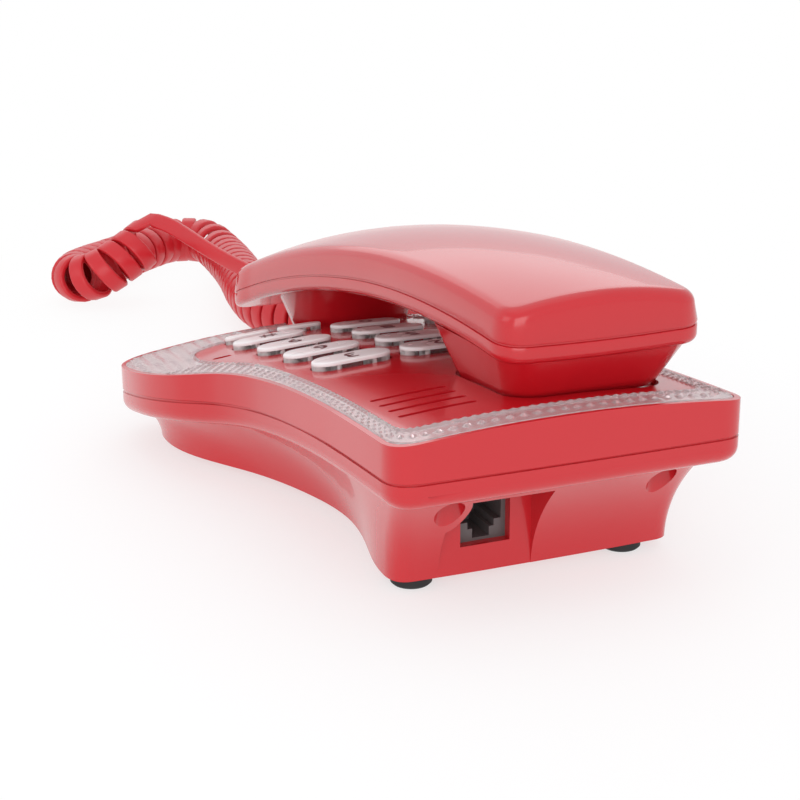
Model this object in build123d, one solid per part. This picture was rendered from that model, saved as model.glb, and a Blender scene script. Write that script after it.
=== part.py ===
from build123d import *
import math
import os

# A small corded desk telephone, in millimetres. +Z is up, +Y is the line-socket end (rear), and the user
# sits at -Y. The origin is on the table, below the centre of the telephone (base and handset together).

# Base, seen from above (half widths from the centre plane X = 0)
REAR_Y = 94.4            # middle of the rear edge
FRONT_Y = -72.0          # middle of the front edge
REAR_HALF = 41.2
WAIST_HALF = 41.4
LOBE_HALF = 61.5
# Base, seen from the side: heights of the seam and of the crown's ridge at the rear, middle and front
PROFILE_Y = (94.4, 10.0, -72.0)
SEAM_Z = (34.5, 25.9, 10.6)
RIDGE_Z = (45.2, 37.2, 23.6)
CROWN_R = 330.0
LIP_H = 5.6
FLOOR_Z = 2.5
WALL = 2.0
PANEL_T = 3.6
# Clear ring round the panel
RIM_W = 1.2
RING_DEPTH = 1.6
# Keys
KEY_COLUMNS = (-24.5, -1.6, 21.3)
KEY_FAN = 0.07           # the columns spread by this share from one row to the next
KEY_FIRST_Y, KEY_PITCH_Y = 17.5, 16.8
KEY_LEN, KEY_WIDE = 19.8, 9.6
FUNCTION_X, FUNCTION_Y = (13.0, 28.0), -45.2
FUNCTION_LEN, FUNCTION_WIDE = 12.6, 4.8
KEY_PROUD = 1.9
KEY_TRAVEL = 1.2
KEY_FLANGE = 1.1
KEY_TILT = 8.0
GAP = 0.3                # between pieces that move past each other
SLIT_X, SLIT_FIRST_Y, SLIT_PITCH, SLIT_LEN = 23.0, 57.4, 5.3, 18.0
# Handset
HS_X = -11.5
HS_PROFILE_Y = (84.3, -4.0, -93.0)
HS_SEAM_Z = (57.0, 52.5, 27.6)
HS_RIDGE_Z = (67.0, 63.6, 40.2)
HS_CROWN_R = 85.0
HS_BAND = 4.0
HS_WALL = 1.8
SEAT_DEPTH = 1.0         # how far the handset's two cups sit into the base
EAR_Y, EAR_LEN, EAR_WIDE, EAR_TAPER = 61.0, 45.0, 45.6, 5.5
MOUTH_X, MOUTH_Y = -9.0, -64.0
# Sockets
JACK_X, JACK_Y = 10.0, 69.9
SIDE_SOCKET_Y, SIDE_SOCKET_Z = -40.0, 6.6
FOOT_X = -3.3            # the plinth's foot is wider on the handset's side
EXIT_Y, EXIT_Z, EXIT_DROP = -94.0, 29.2, 20.0
# Cord: flat, CORD_W wide, wound into a coil COIL_OD across that lies on the table
CORD_W = 5.6
COIL_OD = 17.4
HANDSET_TAIL = ((-11.5, -100.2, 26.94), (-11.4, -111, 23.0), (-9.8, -125, 20.6), (-6.2, -140, 20.6),
                (-1.4, -156, 22.2), (3.4, -171, 24.8), (7.4, -184, 27.6), (11.4, -195.4, 29.9),
                (16.6, -205.4, 30.4))
COIL_ROUTE = ((16.8, -205.6, 21.2), (25.8, -203.2, 16.4), (34.4, -202.8, 11.6), (41.0, -208.8, 9.1),
              (41.2, -218.0, 8.8), (32.4, -227.4, 8.8), (22.0, -235.6, 8.8), (8.5, -248.0, 8.8),
              (-4.4, -260.2, 8.8), (-13.9, -260.2, 8.8), (-20.2, -253.2, 8.8), (-19.6, -240, 8.8),
              (-18, -217, 8.8), (-14.6, -190, 8.8), (-9.4, -163, 8.8), (-8.4, -139, 8.8), (-18, -115, 8.8),
              (-38, -100, 8.8), (-62, -93.5, 8.8), (-80, -79.5, 8.8), (-86, -61, 8.8))
BASE_TAIL = ((-86.2, -62.5, 8.6), (-85.4, -52, 8.0), (-79.4, -43.6, 7.2), (-71.6, -40.2, 6.7),
             (-65.0, -40.0, 6.6))
DEEP = 90.0              # how far down a solid below a surface reaches
# Plinth: how far in it starts below the lip, and its share of the way in to the foot at each depth
PLINTH_IN = 3.0
FLARE = ((0.0, 0.0), (0.22, 0.42), (0.5, 0.76), (1.0, 1.0))
LIP_FILLET = 3.4
# Recess of the line socket: its size, its walls, the window in its wall and the socket behind it
RECESS_WIDE, RECESS_DEEP, RECESS_TOP = 22.5, 40.0, 23.6
WALL_BACK, WALL_OUT = 2.4, 17.4
WINDOW_Z = 8.9
JACK_FACE_Y = JACK_Y - WALL_BACK
JACK_STEPS = ((9.8, 4.5, 6.6), (6.4, 2.9, 3.0), (4.1, 0.7, 3.0))   # width, height above the window, tallness
CONTACT_Z, CONTACT_PITCH = 18.8, 1.27

NUMBER_KEYS = (("1", "2", "3"), ("4", "5", "6"), ("7", "8", "9"), ("star", "0", "hash"))


def height_on(ys, zs, y):
    """Height at y of the arc through the three points of a side profile."""
    (y1, y2, y3), (z1, z2, z3) = ys, zs
    d = 2 * (y1 * (z2 - z3) + y2 * (z3 - z1) + y3 * (z1 - z2))
    s1, s2, s3 = y1 * y1 + z1 * z1, y2 * y2 + z2 * z2, y3 * y3 + z3 * z3
    yc = (s1 * (z2 - z3) + s2 * (z3 - z1) + s3 * (z1 - z2)) / d
    zc = (s1 * (y3 - y2) + s2 * (y1 - y3) + s3 * (y2 - y1)) / d
    return zc + math.sqrt((y1 - yc) ** 2 + (z1 - zc) ** 2 - (y - yc) ** 2)


def below(ys, zs, crown_r, x0=0.0, rise=0.0, half=90.0):
    """Solid below an arched surface: the side profile ys, zs, crowned across X with radius crown_r."""
    sag = crown_r - math.sqrt(crown_r ** 2 - half ** 2)
    sections = []
    for y in (-112.0, -70.0, -20.0, 40.0, 112.0):
        z = height_on(ys, zs, y) + rise
        with BuildLine() as line:
            ThreePointArc((x0 - half, y, z - sag), (x0, y, z), (x0 + half, y, z - sag))
            Polyline((x0 + half, y, z - sag), (x0 + half, y, -DEEP), (x0 - half, y, -DEEP),
                     (x0 - half, y, z - sag))
        sections.append(make_face(line.edges()))
    return loft(sections)


def outline(rear, side, front, lift=lambda y: 0.0, x0=0.0):
    """Closed outline from its right half: rear (middle, end), side points, front (end, middle)."""
    right = lambda p: Vector(x0 + p[0], p[1], lift(p[1]))
    left = lambda p: Vector(x0 - p[0], p[1], lift(p[1]))
    (rear_mid, rear_end), (front_end, front_mid) = rear, front
    rear_knee, front_knee = (side[0][0], rear_end[1]), (side[-1][0], front_end[1])
    ahead = Vector(0, -1, lift(-1) - lift(0))
    with BuildLine() as line:
        ThreePointArc(left(rear_end), right(rear_mid), right(rear_end))
        Bezier(right(rear_end), right(rear_knee), right(side[0]))
        Spline(*map(right, side), tangents=(ahead, ahead))
        Bezier(right(side[-1]), right(front_knee), right(front_end))
        ThreePointArc(right(front_end), right(front_mid), left(front_end))
        Bezier(left(front_end), left(front_knee), left(side[-1]))
        Spline(*map(left, reversed(side)), tangents=(-ahead, -ahead))
        Bezier(left(side[0]), left(rear_knee), left(rear_end))
    return make_face(line.edges())


BASE_SHAPE = (((0, REAR_Y), (REAR_HALF - 7.2, REAR_Y - 0.7)),
              ((REAR_HALF, REAR_Y - 8), (WAIST_HALF - 0.3, 50), (WAIST_HALF + 2, 14), (48.4, -5),
               (56.2, -19), (60.4, -33), (LOBE_HALF, -49)),
              ((47.5, FRONT_Y + 4.7), (0, FRONT_Y)))
PANEL_SHAPE = (((0, 84.0), (30.8, 83.4)),
               ((35.2, 79), (35.0, 50), (36.2, 17), (38.2, -4), (43.6, -17), (46.0, -28)),
               ((29.0, -49.4), (0, -56.5)))
FOOT_SHAPE = (((0, 70.0), (29.9, 69.5)),
              ((34.9, 63.5), (32.2, 46), (30.3, 30), (33.9, 10), (41.8, -9.5), (51.8, -27), (55.9, -44)),
              ((47.3, -57.0), (0, -61.5)))
HANDSET_SHAPE = (((0, 84.6), (16.5, 83.9)),
                 ((24.3, 76.5), (24.4, 18), (25.2, -7), (26.4, -29), (27.9, -53), (29.4, -74), (30.4, -84)),
                 ((23.2, -93.4), (0, -94.4)))


def pulled_in(shape, by):
    """The same outline a distance further in, roughly, with as many points."""
    rear, side, front = shape
    narrow = lambda p: (max(0.0, p[0] - by) if p[0] else 0.0, p[1])
    return (tuple((narrow(p)[0], p[1] - by) for p in rear), tuple(map(narrow, side)),
            tuple((narrow(p)[0], p[1] + by) for p in front))


def blended(shape, other, share):
    """The outline a share of the way from one outline to the other, point by point."""
    mix = lambda p, q: (p[0] + (q[0] - p[0]) * share, p[1] + (q[1] - p[1]) * share)
    return tuple(tuple(mix(p, q) for p, q in zip(run, far)) for run, far in zip(shape, other))


def base_plan(inset=0.0):
    return outline(*pulled_in(BASE_SHAPE, inset))


def prism(face, z0=-5.0, z1=90.0):
    return extrude(face.moved(Location((0, 0, z0))), amount=z1 - z0, dir=(0, 0, 1))


def crown(rise=0.0):
    """Everything below the base's upper surface, moved up by rise."""
    return below(PROFILE_Y, RIDGE_Z, CROWN_R, rise=rise)


def seam(rise=0.0):
    return below(PROFILE_Y, SEAM_Z, 4000.0, rise=rise)


def hs_crown(rise=0.0):
    return below(HS_PROFILE_Y, HS_RIDGE_Z, HS_CROWN_R, x0=HS_X, rise=rise, half=40.0)


def hs_seam(rise=0.0):
    return below(HS_PROFILE_Y, HS_SEAM_Z, 4000.0, x0=HS_X, rise=rise, half=40.0)


def layer(face, upper, lower, surface=crown):
    """The slice of an upright prism between two heights over an arched surface."""
    return (prism(face) & surface(upper)) - surface(lower)


def crown_z(x, y):
    return height_on(PROFILE_Y, RIDGE_Z, y) - x * x / (2 * CROWN_R)


def disc(x, y, radius):
    return Pos(x, y) * Circle(radius)


def pill(x, y, length, width, turn=0.0):
    return Pos(x, y) * Rot(0, 0, turn) * SlotOverall(length, width)


def slab(x, y, width, depth):
    return Pos(x, y) * Rectangle(width, depth)


# ---- keys ----

def key_places():
    """Name, centre, length and width of every key."""
    for row, names in enumerate(NUMBER_KEYS):
        for x, name in zip(KEY_COLUMNS, names):
            yield "key_" + name, x * (1 + KEY_FAN * row), KEY_FIRST_Y - row * KEY_PITCH_Y, KEY_LEN, KEY_WIDE
    for x, name in zip(FUNCTION_X, ("flash", "redial")):
        yield "key_" + name, x, FUNCTION_Y, FUNCTION_LEN, FUNCTION_WIDE


def along_key(face):
    """A prism through the panel along the keys' travel, which is tilted with the panel."""
    tilt = math.radians(KEY_TILT)
    push = Vector(0, -math.sin(tilt), math.cos(tilt))
    middle = face.moved(Location((0, 0, crown_z(0, face.center().Y))))
    start = middle.moved(Location(push * -14))
    return extrude(start, amount=24, dir=push)


def key(x, y, length, width):
    cap = (along_key(pill(x, y, length, width)) & crown(KEY_PROUD)) - crown(-PANEL_T - GAP)
    rounded = fillet(cap.faces().sort_by(Axis.Z)[-1].edges(), 0.7)
    flange = along_key(pill(x, y, length + 2, width + 2)) & crown(-PANEL_T - GAP)
    return rounded + (flange - crown(-PANEL_T - GAP - KEY_FLANGE))


def key_slots():
    return [along_key(pill(x, y, length + 2 * GAP, width + 2 * GAP))
            for _, x, y, length, width in key_places()]


# ---- the handset's two cups and the seats that they rest in ----

def tilted(x, y, z, slope):
    """A plane that rises towards the rear with the surface below it."""
    return Plane(origin=(x, y, z), x_dir=(1, 0, 0), z_dir=(0, -slope, 1))


def ear_cup(inset=0.0):
    top = tilted(HS_X, EAR_Y, 54.4, 0.03) * RectangleRounded(EAR_WIDE - 2 * inset, EAR_LEN - 2 * inset,
                                                              7.5 - inset)
    narrow = 2 * (EAR_TAPER + inset)
    foot = tilted(HS_X, EAR_Y - 0.6, 41.4, 0.085) * RectangleRounded(
        EAR_WIDE + 1.5 - narrow, EAR_LEN - narrow, 7.0 - inset)
    return loft([top.faces()[0], foot.faces()[0]])


def mouth_cup(inset=0.0):
    top = tilted(MOUTH_X, MOUTH_Y, 36.6, 0.33) * Ellipse(20 - inset, 24 - inset)
    foot = tilted(MOUTH_X, MOUTH_Y, 22.6, 0.2) * Ellipse(15.6 - inset, 17.8 - inset)
    return loft([top.faces()[0], foot.faces()[0]])


def ear_seat(grow=0.0):
    width, length = EAR_WIDE + 1.5 - 2 * EAR_TAPER + 2.4, EAR_LEN - 2 * EAR_TAPER + 2.4
    return Pos(HS_X, EAR_Y - 0.6) * RectangleRounded(width + 2 * grow, length + 2 * grow, 8 + grow)


def mouth_seat(grow=0.0):
    return Pos(MOUTH_X, MOUTH_Y) * Ellipse(18.4 + grow, 20.6 + grow)


# ---- base ----

MAT_T, BOARD_T = 1.4, 1.6
PAD_CENTRE, PAD_WIDE, PAD_LEN = (0.0, -12.5), 75.0, 82.0
POSTS = ((-38.0, 24.5), (38.0, 24.5), (-38.0, -49.5), (38.0, -49.5))
HOOK_X, HOOK_Y = -10.8, 58.0
WELL_XS = (FOOT_X - 25.7, FOOT_X + 25.7)
WELL_Y, WELL_TOP, WELL_R = 78.5, 31.0, 3.3
SHANK_R, SHANK_LEN, SCREW_HEAD_R, SCREW_HEAD_H = 1.5, 8.0, 2.7, 2.0
SPEAKER_X, SPEAKER_Y = 21.0, 62.0
FEET = ((-27.6, 64.0), (25.2, 64.0), (-43.0, -44.0), (40.0, -44.0))
FOOT_R = 4.7


def pad_plane(drop=0.0):
    """The flat plane of the keypad's mat and board, tilted as the keys are, drop below its top."""
    x, y = PAD_CENTRE
    slope = math.tan(math.radians(KEY_TILT))
    lowest = crown_z(KEY_COLUMNS[2] + KEY_LEN, y) - PANEL_T - 2 * GAP - KEY_FLANGE - KEY_TRAVEL - 0.9
    return tilted(x, y, lowest, slope).offset(-drop)


def sheet(drop, thick, width=PAD_WIDE, length=PAD_LEN):
    return extrude(pad_plane(drop) * RectangleRounded(width, length, 4), amount=-thick)


def posts():
    return [prism(disc(x, y, 2.6), pad_plane().origin.Z - 14, crown_z(x, y) - 1.5) for x, y in POSTS]


def screw_bosses():
    return [prism(disc(x, WELL_Y, WELL_R + 0.2), WELL_TOP + WALL, 43) for x in WELL_XS]


def screw_holes():
    return [prism(disc(x, WELL_Y, SHANK_R), 20, WELL_TOP + SHANK_LEN + 1) for x in WELL_XS]


def slits():
    return [along_key(pill(SLIT_X, SLIT_FIRST_Y + i * SLIT_PITCH, SLIT_LEN, 1.5)) for i in range(4)]


def top_housing():
    shape = base_plan()
    shell = (prism(shape) & crown()) - seam()
    shell = shell - ((prism(base_plan(RIM_W)) - prism(outline(*PANEL_SHAPE))) - crown(-RING_DEPTH))
    room = prism(base_plan(WALL)) & crown(-PANEL_T)
    below_mat = extrude(pad_plane() * Rectangle(200, 200), amount=-60)
    for post in posts():
        room = room - (post - below_mat)
    for boss in screw_bosses():
        room = room - boss
    shell = shell - room
    shell = shell - (prism(ear_seat()) - crown(-SEAT_DEPTH - GAP))
    shell = shell - (prism(mouth_seat()) - crown(-RING_DEPTH))
    for cut in slits() + key_slots() + screw_holes():
        shell = shell - cut
    return shell - prism(disc(HOOK_X, HOOK_Y, 3.8), 30) - prism(pill(41.0, -25.4, 5.0, 2.0), 20)


def light_ring():
    band = prism(base_plan(RIM_W + 0.05)) - prism(outline(*PANEL_SHAPE))
    band = (band & crown(0.2)) - crown(-RING_DEPTH)
    return band - prism(mouth_seat(0.1))


def chord(y, rise):
    """Height on the straight line between the seam's two ends."""
    slope = (SEAM_Z[0] - SEAM_Z[2]) / (REAR_Y - FRONT_Y)
    return SEAM_Z[2] + rise + slope * (y - FRONT_Y)


def plinth(inset=0.0, rise=-1.6):
    """The flared wall below the lip: sections from the seam's chord, moved by rise, down to the floor."""
    upper, foot = pulled_in(BASE_SHAPE, PLINTH_IN + inset), pulled_in(FOOT_SHAPE, inset)
    floor = FLOOR_Z + inset
    sections = []
    for depth, share in FLARE:
        lift = lambda y, d=depth: chord(y, rise) * (1 - d) + floor * d
        sections.append(outline(*blended(upper, foot, share), lift=lift, x0=FOOT_X * share))
    return loft(sections)


def box(x, y, z, width, depth, height):
    """A block by its centre in plan, its lowest height and its three sizes."""
    return Pos(x, y, z) * Box(width, depth, height, align=(Align.CENTER, Align.CENTER, Align.MIN))


def jack_recess():
    """The space behind the rear wall's plane at JACK_Y, open to the rear and below."""
    return box(JACK_X, JACK_Y + RECESS_DEEP, 0, RECESS_WIDE, 2 * RECESS_DEEP, RECESS_TOP)


def well_tubes():
    return [Pos(x, WELL_Y, 12) * Cylinder(WELL_R + 1.6, WELL_TOP + WALL - 12, align=LOW) for x in WELL_XS]


def recess_walls():
    """The walls round the recess and the tubes of the two screw wells, which the cavity leaves standing."""
    middle_y, depth = JACK_Y + WALL_OUT / 2 - WALL_BACK / 2, WALL_OUT + WALL_BACK
    walls = well_tubes()
    walls.append(box(JACK_X, JACK_Y - WALL_BACK / 2, FLOOR_Z, RECESS_WIDE + 4, WALL_BACK, RECESS_TOP))
    walls.append(box(JACK_X, middle_y, RECESS_TOP, RECESS_WIDE + 4, depth, WALL))
    for side in (-1, 1):
        x = JACK_X + side * (RECESS_WIDE + WALL) / 2
        walls.append(box(x, middle_y, FLOOR_Z, WALL, depth, RECESS_TOP))
    return walls


def bottom_housing():
    shape = base_plan()
    lip = layer(shape, 0, -LIP_H, seam)
    lip = fillet(bottom_rim(lip), LIP_FILLET)
    shell = lip + (plinth() & seam(-LIP_H + 1.0))
    room = (prism(base_plan(WALL + 0.4)) - seam(-LIP_H + WALL)) & seam(5)
    cavity = plinth(WALL, 6.0) & seam(-LIP_H + WALL + 0.5)
    for keeper in recess_walls():
        cavity = cavity - keeper
        room = room - keeper
    shell = shell - cavity
    shell = shell - room
    shell = shell - (jack_recess() - well_tubes()[1])
    shell = shell - box(JACK_X, JACK_Y - WALL_BACK / 2, WINDOW_Z, 12.0, 6, 10.6)
    for x in WELL_XS:
        shell = shell - Pos(x, WELL_Y, -2) * Cylinder(WELL_R, WELL_TOP + 2, align=LOW)
        shell = shell - Pos(x, WELL_Y, 20) * Cylinder(SHANK_R, 20, align=LOW)
    shell = shell - box(-LOBE_HALF + 6, SIDE_SOCKET_Y, SIDE_SOCKET_Z - 3.3, 14, 7.4, 6.6)
    return shell - side_block()


LOW = (Align.CENTER, Align.CENTER, Align.MIN)


def bottom_rim(lip):
    """The outer lower edge of the lip, which is rounded."""
    under = [f for f in lip.faces() if f.normal_at().Z < -0.9][0]
    return under.edges()


def rubber_foot(x, y):
    pad = Pos(x, y, 0) * Cylinder(FOOT_R, FLOOR_Z, align=LOW)
    return chamfer(pad.edges().group_by(Axis.Z)[0], 0.5)


def case_screw(x):
    """A cross-headed screw, driven up from below."""
    under = WELL_TOP - SCREW_HEAD_H
    head = Pos(x, WELL_Y, under) * Cylinder(SCREW_HEAD_R, SCREW_HEAD_H, align=LOW)
    shank = Pos(x, WELL_Y, WELL_TOP) * Cylinder(SHANK_R, SHANK_LEN, align=LOW)
    return head + shank - box(x, WELL_Y, under, 0.7, 3.6, 0.9) - box(x, WELL_Y, under, 3.6, 0.7, 0.9)


def line_jack():
    """Six-way modular jack: stepped opening with the latch notch lowest."""
    body = box(JACK_X, JACK_FACE_Y - 6.5, WINDOW_Z - 0.5, 13.4, 13.0, 13.0)
    for width, low, height in JACK_STEPS:
        body = body - box(JACK_X, JACK_FACE_Y - 4.5, WINDOW_Z + low, width, 12.0, height)
    return body


def jack_contacts():
    """Four sprung wires that stand up inside the jack, and the strip that holds them."""
    strip = box(JACK_X, JACK_FACE_Y - 9.4, CONTACT_Z, 5.6, 2.0, 1.2)
    for i in range(4):
        x = JACK_X + (i - 1.5) * CONTACT_PITCH
        strip = strip + box(x, JACK_FACE_Y - 6.6, CONTACT_Z, 0.46, 5.0, 0.46)
    return strip


def side_block():
    return box(-LOBE_HALF + 9.6, SIDE_SOCKET_Y, SIDE_SOCKET_Z - 3.4, 10.0, 9.6, 9.9)


def side_socket():
    """Four-way socket for the handset's cord, in the left wall under the lip."""
    return side_block() - box(-LOBE_HALF + 6.6, SIDE_SOCKET_Y, SIDE_SOCKET_Z - 2.9, 12.0, 6.7, 5.8)


def hook_plunger():
    seat_z = crown_z(HOOK_X, HOOK_Y) - SEAT_DEPTH - GAP
    pin = Pos(HOOK_X, HOOK_Y, seat_z - 13) * Cylinder(3.4, 13 - GAP, align=LOW)
    collar = Pos(HOOK_X, HOOK_Y, seat_z - 10.5) * Cylinder(5.0, 1.4, align=LOW)
    return pin + collar


def hook_switch():
    seat_z = crown_z(HOOK_X, HOOK_Y) - SEAT_DEPTH - GAP
    bottom = FLOOR_Z + WALL
    return box(HOOK_X, HOOK_Y, bottom, 14, 18, seat_z - 13 - GAP - bottom)


def ringer():
    cone = layer(disc(SPEAKER_X, SPEAKER_Y, 11.5), -PANEL_T, -PANEL_T - 2.4)
    magnet = layer(disc(SPEAKER_X, SPEAKER_Y, 6.0), -PANEL_T - 2.0, -PANEL_T - 6.5)
    return cone + magnet


def main_board():
    return box(8.0, 36.0, FLOOR_Z + WALL, 34, 22, 1.6)


# ---- handset ----

def hs_outline(inset=0.0):
    return outline(*pulled_in(HANDSET_SHAPE, inset), x0=HS_X)


def exit_plane(out=0.0):
    """The plane across the cord's exit, its normal pointing out along the cord."""
    drop = math.radians(EXIT_DROP)
    out_dir = Vector(0, -math.cos(drop), -math.sin(drop))
    return Plane(origin=Vector(HS_X, EXIT_Y, EXIT_Z) + out_dir * out, x_dir=(1, 0, 0), z_dir=out_dir)


def exit_block(start, end, width, height):
    return extrude(exit_plane(start) * Rectangle(width, height), amount=end - start)


def socket_room():
    return exit_block(-13.2, -2.2, 9.6, 8.2)


def screw_post(radius, low, high):
    return Pos(HS_X, 26.0, low) * Cylinder(radius, high - low, align=LOW)


def handset_top_shell():
    shell = (prism(hs_outline()) & hs_crown()) - hs_seam()
    shell = fillet(shell.faces().sort_by(Axis.Z)[-1].edges(), 2.4)
    room = (prism(hs_outline(HS_WALL)) & hs_crown(-HS_WALL)) - screw_post(3.2, 45, 75)
    shell = shell - room
    shell = shell - screw_post(1.2, 40, 60)
    return shell - socket_room() - exit_block(-14, 4, 7.2, 6.8)


def handset_bottom_shell():
    band = layer(hs_outline(), 0, -HS_BAND, hs_seam)
    band = band + (ear_cup() & hs_seam(-1.0)) + (mouth_cup() & hs_seam(-1.0))
    band = band - crown(-SEAT_DEPTH)
    room = layer(hs_outline(HS_WALL), 6, -HS_BAND + HS_WALL, hs_seam)
    cups = ear_cup(HS_WALL) + mouth_cup(HS_WALL)
    room = room + (cups - crown(-SEAT_DEPTH + HS_WALL))
    shell = band - room
    shell = shell + (screw_post(2.9, 50, 54) & hs_seam(-HS_BAND + HS_WALL + 0.6)) - screw_post(1.3, 40, 60)
    for i in range(6):
        angle = math.radians(60 * i)
        spot = (HS_X + 6 * math.cos(angle), EAR_Y + 6 * math.sin(angle))
        shell = shell - Pos(*spot, 38) * Cylinder(0.9, 12, align=LOW)
    shell = shell - Pos(MOUTH_X, MOUTH_Y, 20) * Cylinder(1.0, 12, align=LOW)
    return shell - socket_room() - exit_block(-14, 4, 7.2, 6.8)


def receiver():
    return layer(disc(HS_X, EAR_Y, 13.5), 6.5, -SEAT_DEPTH + HS_WALL)


def microphone():
    return layer(disc(MOUTH_X, MOUTH_Y, 5.0), 6.0, -SEAT_DEPTH + HS_WALL)


def weight():
    return layer(slab(HS_X, -8.0, 24, 48), 2.0, -HS_BAND + HS_WALL, hs_seam)


def handset_socket():
    return exit_block(-13, -2.4, 9.4, 8.0) - exit_block(-11, 0, 6.7, 6.0)


def handset_screw():
    head = screw_post(2.2, 46.6, 48.0)
    return head + screw_post(1.2, 48.0, 56)


# ---- cord ----

def plug(plane_at, depth):
    """Four-way plug: a block that fills the socket and a short grip outside it."""
    body = extrude(plane_at(-depth) * Rectangle(6.3, 5.2), amount=depth)
    return body + extrude(plane_at(0) * RectangleRounded(CORD_W + 1.4, 5.6, 1.2), amount=6.0)


def side_plane(out=0.0):
    return Plane(origin=(-LOBE_HALF + 2.5 - out, SIDE_SOCKET_Y, SIDE_SOCKET_Z), x_dir=(0, 1, 0),
                 z_dir=(-1, 0, 0))


def route_radii(points):
    """The largest arc that each corner's two runs allow."""
    radii = []
    for before, here, after in zip(points, points[1:], points[2:]):
        run_in, run_out = Vector(*here) - Vector(*before), Vector(*after) - Vector(*here)
        turn = math.radians(run_in.get_angle(run_out))
        radii.append(0.45 * min(run_in.length, run_out.length) / math.tan(turn / 2))
    return radii


def tube(name, points, diameter):
    """A round tube along straight runs joined by tangent arcs, and its size against its length."""
    radii = route_radii(points)
    path = FilletPolyline(*points, radius=radii)
    start = Plane(origin=path @ 0, z_dir=path % 0)
    solid = sweep(start * Circle(diameter / 2), path=path)
    expected = math.pi * diameter ** 2 / 4 * path.length
    print(name, "radii", [round(r, 1) for r in radii], "length", round(path.length, 1),
          "volume share", round(solid.volume / expected, 4))
    return solid


# ---- writing ----

def small_parts():
    return {
        "keypad_mat": sheet(0.0, MAT_T),
        "keypad_board": sheet(MAT_T, BOARD_T),
        "main_board": main_board(),
        "ringer_speaker": ringer(),
        "line_jack": line_jack(),
        "line_jack_contacts": jack_contacts(),
        "cord_socket": side_socket(),
        "hook_plunger": hook_plunger(),
        "hook_switch": hook_switch(),
        "case_screw_left": case_screw(WELL_XS[0]),
        "case_screw_right": case_screw(WELL_XS[1]),
    }


def main():
    os.makedirs("parts", exist_ok=True)
    parts = {"top_housing": top_housing(), "bottom_housing": bottom_housing(), "light_ring": light_ring()}
    parts.update(small_parts())
    for name, x, y, length, width in key_places():
        parts[name] = key(x, y, length, width)
    for place, (x, y) in zip(("rear_left", "rear_right", "front_left", "front_right"), FEET):
        parts["rubber_foot_" + place] = rubber_foot(x, y)
    parts["handset_top_shell"] = handset_top_shell()
    parts["handset_bottom_shell"] = handset_bottom_shell()
    parts["receiver_capsule"] = receiver()
    parts["microphone_capsule"] = microphone()
    parts["handset_weight"] = weight()
    parts["handset_socket"] = handset_socket()
    parts["handset_screw"] = handset_screw()
    parts["cord_plug_handset"] = plug(exit_plane, 8.0)
    parts["cord_plug_base"] = plug(side_plane, 8.0)
    parts["cord_tail_handset"] = tube("handset tail", HANDSET_TAIL, CORD_W)
    parts["cord_coil"] = tube("coil", COIL_ROUTE, COIL_OD)
    parts["cord_tail_base"] = tube("base tail", BASE_TAIL, CORD_W)
    for name, shape in parts.items():
        shape.label = name
        export_step(shape, f"parts/{name}.step")


if __name__ == "__main__":
    main()
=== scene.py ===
"""A small corded desk telephone, as a Blender add-on that dresses its CAD frame."""
import math
import random

import bmesh
import bpy
from mathutils import Matrix, Vector
from mathutils.geometry import interpolate_bezier
from mathutils.kdtree import KDTree


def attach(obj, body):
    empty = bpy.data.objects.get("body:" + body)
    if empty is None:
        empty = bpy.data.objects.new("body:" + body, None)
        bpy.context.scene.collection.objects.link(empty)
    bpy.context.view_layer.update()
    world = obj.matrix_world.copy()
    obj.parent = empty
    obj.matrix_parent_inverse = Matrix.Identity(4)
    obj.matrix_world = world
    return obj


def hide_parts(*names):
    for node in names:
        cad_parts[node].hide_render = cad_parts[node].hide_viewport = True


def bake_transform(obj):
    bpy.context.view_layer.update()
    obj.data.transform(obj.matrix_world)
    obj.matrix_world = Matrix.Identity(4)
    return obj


bl_info = {
    "name": "Corded Desk Telephone",
    "version": (1, 0, 0),
    "blender": (4, 5, 0),
    "location": "3D View > Sidebar > Telephone",
    "description": "Models the shells, keys, light ring and curly cord of a desk telephone",
    "category": "Object",
}

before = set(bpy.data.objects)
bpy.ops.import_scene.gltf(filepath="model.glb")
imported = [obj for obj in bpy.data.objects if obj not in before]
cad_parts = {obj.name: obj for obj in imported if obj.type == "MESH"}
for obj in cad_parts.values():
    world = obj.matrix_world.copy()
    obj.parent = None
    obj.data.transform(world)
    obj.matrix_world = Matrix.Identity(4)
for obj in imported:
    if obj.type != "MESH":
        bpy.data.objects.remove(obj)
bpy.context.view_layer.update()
MM = 0.001


# ------------------------ settings

def length(name, default, description):
    """A length in metres that a user can change."""
    return bpy.props.FloatProperty(name=name, description=description, default=default, unit="LENGTH",
                                   precision=5)


def colour(name, default, description):
    """A colour that a user can change."""
    return bpy.props.FloatVectorProperty(name=name, description=description, default=default, size=4,
                                         subtype="COLOR", min=0.0, max=1.0)


class ShellSettings(bpy.types.PropertyGroup):
    """Moulded shells of the handset and the base"""
    red: colour("Shell red", (0.53, 0.009, 0.016, 1), "Colour of the moulded shells")
    groove: length("Seam groove", 0.45 * MM, "How deep the seams between the shells are")


class PadSettings(bpy.types.PropertyGroup):
    """Keys"""
    plate: length("Plate", 0.9 * MM, "Thickness of a key's white top plate")
    digit: length("Digit", 7.0 * MM, "Type size of the digits on the keys")


class RingSettings(bpy.types.PropertyGroup):
    """Clear ring round the panel"""
    dimple: length("Dimple", 0.42 * MM, "Height of the dimples on the clear ring")
    bead: length("Bead", 0.55 * MM, "Height of the bead along the panel")


class CordSettings(bpy.types.PropertyGroup):
    """Curly cord"""
    red: colour("Cord red", (0.56, 0.012, 0.020, 1), "Colour of the cord's jacket")
    width: length("Width", 5.5 * MM, "Width of the flat cord")
    thickness: length("Thickness", 2.2 * MM, "Thickness of the flat cord")


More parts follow.
